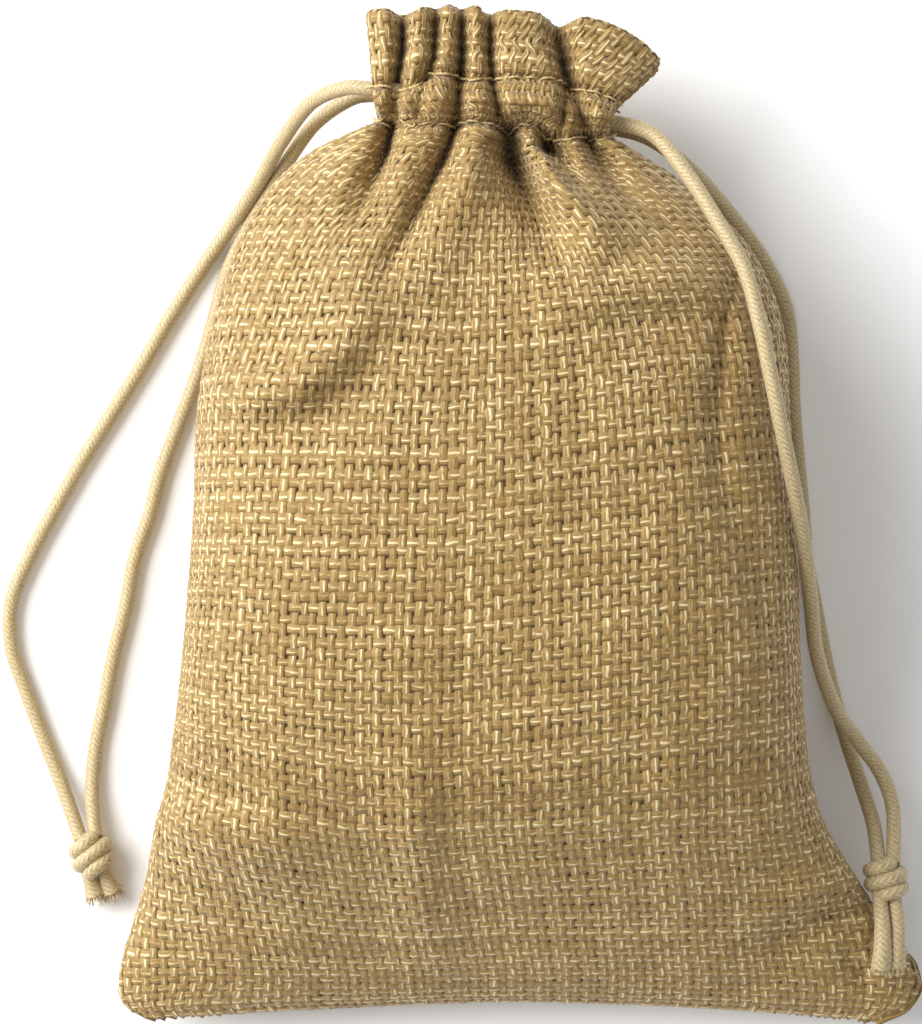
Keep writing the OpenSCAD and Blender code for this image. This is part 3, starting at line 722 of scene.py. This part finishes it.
def relaxedNet(surface, topRow):
    # Where the weave's own rows and columns lie on the surface. A net of even cells is
    # laid on it and relaxed: each side of a cell is pulled towards the length that it has
    # in the flat cloth, more when stretched than when slack, and each yarn towards a smooth
    # line. So the net shears as cloth does, on the bias over the shoulders.
    wefts, warps = cloth["wefts"], cloth["warps"]
    places = np.zeros((wefts + 1, warps + 1, 2))
    places[..., 0] = np.linspace(0, topRow, wefts + 1)[:, None]
    places[..., 1] = np.linspace(0, surface.shape[1] - 1, warps + 1)[None]
    start = places.copy()
    points = sampled(surface, places)
    wide = np.linalg.norm(np.diff(points, axis=1), axis=2).sum(1)
    # from the shoulders up the cloth is gathered, and each row keeps its own even spacing
    flat = np.percentile(wide, 75)
    gathered = gatheredShare(points[:, warps // 2, 1])
    free = 1 - gathered
    weftSide = ((flat + (wide - flat) * gathered) / warps)[:, None, None]
    tall = np.linalg.norm(np.diff(points, axis=0), axis=2).sum(0)
    warpSide = np.percentile(tall, 60) / wefts
    for _ in range(relaxing["rounds"]):
        points = sampled(surface, places)
        pull = np.zeros_like(points)
        for axis, length in ((1, weftSide), (0, warpSide)):
            edge = np.diff(points, axis=axis)
            size = np.linalg.norm(edge, axis=2, keepdims=True)
            off = (size - length) / np.maximum(size, 1e-6)
            move = edge * off * np.where(off > 0, relaxing["stretched"], relaxing["slack"])
            smooth = relaxing["straighten"] * (free[:, None, None] if axis else 1)
            kink = np.moveaxis(smooth * np.diff(points, 2, axis=axis), axis, 0)
            move, along = np.moveaxis(move, axis, 0), np.moveaxis(pull, axis, 0)
            along[:-1] += move
            along[1:] -= move
            along[1:-1] += kink
        alongRow = sampled(surface, places + [0, 1.5]) - sampled(surface, places - [0, 1.5])
        alongColumn = sampled(surface, places + [1, 0]) - sampled(surface, places - [1, 0])
        alongRow, alongColumn = alongRow / 3, alongColumn / 2
        a = (alongColumn ** 2).sum(-1) + 1e-4
        b = (alongColumn * alongRow).sum(-1)
        d = (alongRow ** 2).sum(-1) + 1e-4
        u = (alongColumn * pull).sum(-1)
        v = (alongRow * pull).sum(-1)
        det = np.maximum(a * d - b * b, 0.05 * a * d)
        places[..., 0] += np.clip((d * u - b * v) / det, -1.5, 1.5)
        places[..., 1] += free[:, None] * np.clip((a * v - b * u) / det, -2.5, 2.5)
        level = places[..., 0].mean(1, keepdims=True) - places[..., 0]
        places[..., 0] += gathered[:, None] ** 2 * level
        places[0, :, 0], places[-1, :, 0] = 0, topRow
        places[:, 0, 1], places[:, -1, 1] = 0, surface.shape[1] - 1
        places[..., 0] = np.maximum.accumulate(places[..., 0], 0)
        places[..., 1] = np.maximum.accumulate(places[..., 1], 1)
    # the last unevenness is smoothed away, row to row and column to column
    drift, ease = places - start, relaxing["smoothShare"] * free[:, None, None]
    for _ in range(relaxing["smoothRounds"]):
        drift[1:-1] += ease[1:-1] * np.diff(drift, 2, axis=0)
        drift[:, 1:-1] += ease * np.diff(drift, 2, axis=1)
    places = start + drift
    # the weft isn't straight: it climbs to the right, and falls from the lower left corner
    points = sampled(surface, places)
    x, y = points[..., 0], points[..., 1]
    climb = (relaxing["climb"] * np.maximum(x + 12, 0) * np.clip((y + 82) / 48, 0, 1)
             * np.clip((58 - y) / 30, 0, 1))
    corner = relaxing["cornerFall"] * np.maximum(-27 - x, 0) * np.exp(-((y + 52) / 20) ** 2)
    wave = relaxing["wave"] * softNoise(71, *x.shape, 9, 7) * np.exp(-((y + 10) / 55) ** 6)
    places[..., 0] += (climb + corner + wave) * topRow / tall.mean()
    places[1:-1, :, 0] = np.clip(places[1:-1, :, 0], 1, topRow - 1)
    places[..., 0] = np.maximum.accumulate(places[..., 0], 0)
    return places


def netWithFold(places, rows, topRow):
    # the net carried on over the folded edge, as many even cells as the rest has
    step = topRow / cloth["wefts"]
    extra = int((rows - 1 - topRow) / step)
    more = np.repeat(places[-1:], extra, 0)
    more[..., 0] = topRow + step * np.arange(1, extra + 1)[:, None]
    return np.concatenate([places, more])


def burlapYarnMaterial(name, stops):
    # Linen-look burlap in plain weave. Each yarn is a soft golden-brown roving with a painted
    # highlight along its top: a thin pale bar that shows bright on every float
    material, tree, shader = newMaterial(
        name, Roughness=0.58, Specular_IOR_Level=0.35, IOR=1.45,
        Sheen_Weight=0.2, Sheen_Roughness=0.45)
    uv = addNode(tree, "UVMap", uv_map="Along").outputs["UV"]
    tone = addNode(tree, "Attribute", attribute_name="tone").outputs["Fac"]
    # U is the turn round the yarn and V its length in mm: fibres 0.1 mm wide, lightly
    # twisted, and paler or darker stretches of about 2 mm
    fibrePlace = addNode(tree, "Mapping", {"Vector": uv},
                         {"Scale": (17, 1.1, 1), "Rotation": (0, 0, 0.05)})
    fibres = addNode(tree, "TexNoise", {"Vector": fibrePlace.outputs["Vector"]},
                     {"Scale": 1.0, "Detail": 3, "Roughness": 0.65})
    stretchPlace = addNode(tree, "Mapping", {"Vector": uv}, {"Scale": (1.1, 0.42, 1)})
    stretches = addNode(tree, "TexNoise", {"Vector": stretchPlace.outputs["Vector"]},
                        {"Scale": 1.0, "Detail": 2})
    # the painted highlight: a thin pale bar near the top of the yarn's turn, a quarter of the way
    # round, wandering a little
    split = addNode(tree, "SeparateXYZ", {"Vector": uv})
    turn = addNode(tree, "Math", {0: split.outputs["X"]}, operation="FRACT")
    wander = addNode(tree, "Math", {0: stretches.outputs["Fac"], 2: turn.outputs[0]},
                     {1: 0.14}, operation="MULTIPLY_ADD")
    offTop = addNode(tree, "Math", {0: wander.outputs[0]}, {1: 0.32}, operation="SUBTRACT")
    away = addNode(tree, "Math", {0: offTop.outputs[0]}, operation="ABSOLUTE")
    crownHighlight = addNode(tree, "MapRange", {"Value": away.outputs[0]},
                       {"From Min": 0.018, "From Max": 0.046, "To Min": 1.0, "To Max": 0.0},
                       interpolation_type="SMOOTHSTEP")
    # how strong the painted highlight is along the yarn, from its stretches and its tone
    lit = addNode(tree, "MapRange", {"Value": addNode(
        tree, "Math", {0: stretches.outputs["Fac"], 1: tone}, operation="ADD").outputs[0]},
        {"From Min": 0.34, "From Max": 0.66, "To Min": 0.12, "To Max": 0.42},
        interpolation_type="SMOOTHSTEP")
    shine = addNode(tree, "Math", {0: crownHighlight.outputs[0], 1: lit.outputs[0]},
                    operation="MULTIPLY")
    hairs = addNode(tree, "Math", {0: fibres.outputs["Fac"], 2: tone}, {1: 0.75},
                    operation="MULTIPLY_ADD")
    shade = addNode(tree, "Math", {0: hairs.outputs[0], 1: shine.outputs[0]}, operation="ADD")
    colour = addNode(tree, "ValToRGB", {"Fac": shade.outputs[0]}, stops=stops)
    tree.links.new(colour.outputs["Color"], shader.inputs["Base Color"])
    relief = addNode(tree, "Math", {0: fibres.outputs["Fac"], 1: crownHighlight.outputs[0]},
                     operation="ADD")
    bump = addNode(tree, "Bump", {"Height": relief.outputs[0]},
                   {"Strength": 0.55, "Distance": 0.00011})
    tree.links.new(bump.outputs["Normal"], shader.inputs["Normal"])
    return material


def clothBackingMaterial():
    # A thin sheet under the yarns in a dull, hairy brown: painted shade of the fibres deep between
    # the yarns of burlap
    material, tree, shader = newMaterial(
        "burlap backing", Roughness=0.9, Specular_IOR_Level=0.2, Sheen_Weight=0.1)
    place = addNode(tree, "TexCoord").outputs["Object"]
    hair = addNode(tree, "TexNoise", {"Vector": place}, {"Scale": 1500, "Detail": 3})
    colour = addNode(tree, "ValToRGB", {"Fac": hair.outputs["Fac"]}, stops=[
        (0.3, "#7d602d"), (0.55, "#967640"), (0.8, "#ab8c52")])
    tree.links.new(colour.outputs["Color"], shader.inputs["Base Color"])
    bump = addNode(tree, "Bump", {"Height": hair.outputs["Fac"]},
                   {"Strength": 0.5, "Distance": 0.0002})
    tree.links.new(bump.outputs["Normal"], shader.inputs["Normal"])
    return material


def yarnPiece(name, surface, out, places, direction, first, count, material, seed):
    # Yarns number first to first + count of one direction. Yarn k runs on the line k + 1/2
    # of the net, and rises and falls by swing cos(pi (crossing + k)) along the normal; the
    # other direction's yarns have the opposite sign, so they pass over and under.
    random = np.random.default_rng(seed)
    warp = direction == "warp"
    net = places if warp else np.swapaxes(places, 0, 1)
    crossings = len(net) - 1
    inner = np.arange(0.5, crossings - 0.49, 1 / yarn["perCrossing"])
    at = np.concatenate([[0.02], inner, [crossings - 0.02]])
    numbers = np.arange(first, first + count)
    stray = yarn["uneven"] * random.normal(0, 1, count)
    lines = splineGrid(net, at, numbers + 0.5 + np.clip(stray, -0.22, 0.22))
    lines = np.swapaxes(lines, 0, 1)
    base, normal = onSurface(surface, out, lines)
    phase = np.cos(np.pi * (at[None] - 0.5 + numbers[:, None])) * (1 if warp else -1)
    rings = len(at)
    cells = max(crossings // 2, 4)
    swell = 1 + yarn["slub"] * softNoise(seed + 1, count, rings, count, cells)
    swell = swell * (1 + yarn["uneven"] * random.normal(0, 1, (count, 1)))
    swell = np.clip(swell, 0.62, 1.45)
    half = yarn["warpHalf"] if warp else yarn["weftHalf"]
    ahead = unit(np.gradient(base, axis=1))
    across = unit(np.cross(ahead, normal))
    # a yarn may be no wider than its room: where the net is gathered, it narrows
    room = np.linalg.norm(np.diff(sampled(surface, splineGrid(
        net, at, np.arange(first, first + count + 1))), axis=1), axis=2).T
    fit = np.clip(room / np.median(room), yarn["slimmest"], yarn["widest"])
    wander = yarn["wander"] * softNoise(seed + 2, count, rings, count, crossings // 3)
    path = base + (yarn["swing"] * phase)[..., None] * normal + wander[..., None] * across
    points, faces, spots = tubeMesh(
        path, normal, half * swell * fit, yarn["thickness"] * np.sqrt(swell) * np.ones_like(fit),
        yarn["sides"])
    points[:, 2] = np.maximum(points[:, 2], 0.05)
    slow = softNoise(seed + 3, count, rings, count, max(crossings // 9, 2))
    quick = softNoise(seed + 4, count, rings, count, crossings)
    # painted shade: the tone follows the yarn's rise and fall, lighter over a crossing and darker
    # under one
    tone = (random.normal(0, yarn["toneByYarn"], (count, 1)) + yarn["toneSlow"] * slow
            + yarn["toneQuick"] * quick + yarn["paintedFloatShade"] * phase)
    pale = random.random(count) < yarn["paleShare"]
    tone = tone + yarn["paleTone"] * pale[:, None]
    run = runAlong(base)
    tube, ring, turn = (spots[..., k].astype(int) for k in range(3))
    uv = np.stack([turn / yarn["sides"] + tube * 7, run[tube, ring] + 31.7 * tube], -1)
    bakeUv = np.stack([(tube + 0.04 + 0.92 * turn / yarn["sides"]) / count,
                       0.002 + 0.996 * ring / (rings - 1)], -1)
    return makePiece(name, points, faces, "pouch", material, uv, bakeUv,
                     {"tone": np.repeat(tone.ravel(), yarn["sides"])})


def backingMesh(surface, out, places):
    # a thin closed sheet just under the yarns, two points to a crossing
    net = splineGrid(places, np.arange(0, len(places) - 0.99, 0.5),
                     np.arange(0, places.shape[1] - 0.99, 0.5))
    base, normal = onSurface(surface, out, net)
    rows, columns = base.shape[:2]
    layers = [base - depth * normal for depth in cloth["backing"]]
    points = np.concatenate([layer.reshape(-1, 3) for layer in layers])
    points[:, 2] = np.maximum(points[:, 2], 0.08)
    r, c = np.meshgrid(np.arange(rows - 1), np.arange(columns - 1), indexing="ij")
    corner = r * columns + c
    top = np.stack([corner, corner + 1, corner + columns + 1, corner + columns], -1).reshape(-1, 4)
    bottom = top[:, ::-1] + rows * columns
    rim = np.concatenate([np.arange(columns), np.arange(1, rows) * columns + columns - 1,
                          (rows - 1) * columns + np.arange(columns - 2, -1, -1),
                          np.arange(rows - 2, 0, -1) * columns])
    ahead = np.roll(rim, -1)
    edge = np.stack([ahead, rim, rim + rows * columns, ahead + rows * columns], -1)
    return points, np.concatenate([top, bottom, edge])


def clothPanel(which, side, folds, materials, seed):
    # a panel with its hem: the backing sheet and the yarns woven over it
    surface, at = sheetSurface(side, folds, seed)
    topRow = cloth["rows"] - 1
    out = side * outwards(surface)
    places = relaxedNet(surface, topRow)
    net = netWithFold(places, len(surface), topRow)
    points, faces = backingMesh(surface, out, net)
    if side < 0:
        faces = faces[:, ::-1]
    backing = makePiece(which + "_cloth", points, faces, "pouch", materials[0])
    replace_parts(backing, which + "_panel", which + "_hem")
    pieces = []
    warps, wefts = cloth["warps"], len(net) - 1
    for direction, total, material in (("warp", warps, materials[1]), ("weft", wefts, materials[2])):
        half = total // 2
        for part, (first, count) in enumerate(((0, half), (half, total - half))):
            seed += 10
            pieces.append(yarnPiece(which + "_" + direction + "_" + "ab"[part], surface, out,
                                    net, direction, first, count, material, seed))
    print(which, "cloth:", warps, "warp and", wefts, "weft yarns")
    return backing, pieces, (surface, out, at)


backingMaterial = clothBackingMaterial()
warpMaterial = burlapYarnMaterial(
    "burlap warp yarn", [(0.12, "#7a5f2f"), (0.36, "#957845"), (0.55, "#ab8f59"), (0.85, "#ead7a6")])
weftMaterial = burlapYarnMaterial(
    "burlap weft yarn", [(0.12, "#775c2d"), (0.36, "#927542"), (0.55, "#a88c57"), (0.85, "#e8d4a3")])
clothMaterials = (backingMaterial, warpMaterial, weftMaterial)
panels = {}
for which, side, folds, seed in (("front", 1, frontFolds, 100), ("back", -1, backFolds, 300)):
    panels[which] = clothPanel(which, side, folds, clothMaterials, seed)


# the sewing thread

def threadMaterial():
    # Spun polyester sewing thread, two-ply: straw, with a fine twist
    material, tree, shader = newMaterial(
        "spun polyester sewing thread", Roughness=0.5, Specular_IOR_Level=0.4, Sheen_Weight=0.2)
    place = addNode(tree, "TexCoord").outputs["Object"]
    twist = addNode(tree, "TexWave", {"Vector": place},
                    {"Scale": 900, "Distortion": 1.5, "Detail": 1}, bands_direction="DIAGONAL")
    colour = addNode(tree, "ValToRGB", {"Fac": twist.outputs["Fac"]}, stops=[
        (0.0, "#a98c55"), (1.0, "#dcc591")])
    tree.links.new(colour.outputs["Color"], shader.inputs["Base Color"])
    bump = addNode(tree, "Bump", {"Height": twist.outputs["Fac"]},
                   {"Strength": 0.4, "Distance": 0.00008})
    tree.links.new(bump.outputs["Normal"], shader.inputs["Normal"])
    return material


stitch = {
    "pitch": 2.6, "halfThread": 0.2,    # mm
    "points": 1000,                     # along a row
}


def stitchRow(name, node, panel, station, material):
    # a lockstitch: one thread that follows the cloth's row and dips under it at every
    # stitch, by a cosine of the run that is steeper below half a millimetre
    surface, out, at = panel
    row = np.interp(station, at, np.arange(len(at)))
    count = stitch["points"]
    places = np.stack([np.full(count, row), np.linspace(4, surface.shape[1] - 5, count)], -1)
    line, normal = onSurface(surface, out, places)
    run = runAlong(line)
    height = 0.62 + 0.28 * np.cos(2 * np.pi * run / stitch["pitch"])
    height = np.where(height < 0.5, 2.2 * height - 0.6, height)
    path = (line + height[:, None] * normal)[None]
    half = np.full(path.shape[:2], stitch["halfThread"])
    points, faces, _ = tubeMesh(path, normal[None], half, half, 8)
    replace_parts(makePiece(name, points, faces, "pouch", material), node)


thread = threadMaterial()
neckStation = len(bodySections)      # the station of the lower stitch row
for which in panels:
    for height, station in (("lower", neckStation), ("upper", neckStation + 2)):
        stitchRow(which + "_" + height + "_thread", which + "_" + height + "_stitch",
                  panels[which][2], station, thread)
# the frame's own nodes that stay: the seams and the overlocked edges, hidden inside
for name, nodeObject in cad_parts.items():
    if not nodeObject.hide_render:
        nodeObject.data.materials.clear()
        nodeObject.data.materials.append(thread if "overlock" in name else backingMaterial)
print("stitches sewn")


# the floor and the light

studioLook = {
    "floor": 3,                                     # m from its middle to its edges
    "key": (-1.05, 0.5, 0.8), "aim": (0, 0.01, 0.02),   # m
    "keySize": 1.2, "keyPower": 37,                 # m, W
    "surround": 0.55,                               # strength of the even white surround
}


def studio():
    # a white floor, a large soft key from the mouth's left and an even white surround
    material, tree, shader = newMaterial("matt white card", Roughness=0.9, Specular_IOR_Level=0.1)
    place = addNode(tree, "TexCoord").outputs["Object"]
    grain = addNode(tree, "TexNoise", {"Vector": place}, {"Scale": 60, "Detail": 2})
    colour = addNode(tree, "ValToRGB", {"Fac": grain.outputs["Fac"]}, stops=[
        (0.0, "#fbfbfb"), (1.0, "#ffffff")])
    tree.links.new(colour.outputs["Color"], shader.inputs["Base Color"])
    mesh = bpy.data.meshes.new("floor")
    size = studioLook["floor"]
    mesh.from_pydata([(-size, -size, 0), (size, -size, 0), (size, size, 0), (-size, size, 0)],
                     [], [(0, 1, 2, 3)])
    mesh.materials.append(material)
    floor = bpy.data.objects.new("floor", mesh)
    bpy.context.scene.collection.objects.link(floor)
    floor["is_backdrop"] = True
    lamp = bpy.data.lights.new("Key", "AREA")
    lamp.shape, lamp.size, lamp.energy = "SQUARE", studioLook["keySize"], studioLook["keyPower"]
    light = bpy.data.objects.new("Key", lamp)
    light.location = studioLook["key"]
    beam = Vector(studioLook["aim"]) - Vector(studioLook["key"])
    light.rotation_euler = beam.to_track_quat("-Z", "Y").to_euler()
    bpy.context.scene.collection.objects.link(light)
    world = bpy.data.worlds.new("Studio")
    world.use_nodes = True
    world.node_tree.nodes["Background"].inputs["Color"].default_value = (1, 1, 1, 1)
    world.node_tree.nodes["Background"].inputs["Strength"].default_value = studioLook["surround"]
    bpy.context.scene.world = world
    bpy.context.scene.view_settings.view_transform = "Standard"


studio()
print("studio set")

{"cad": cadBox, "visual": [list(corner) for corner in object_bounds()]}
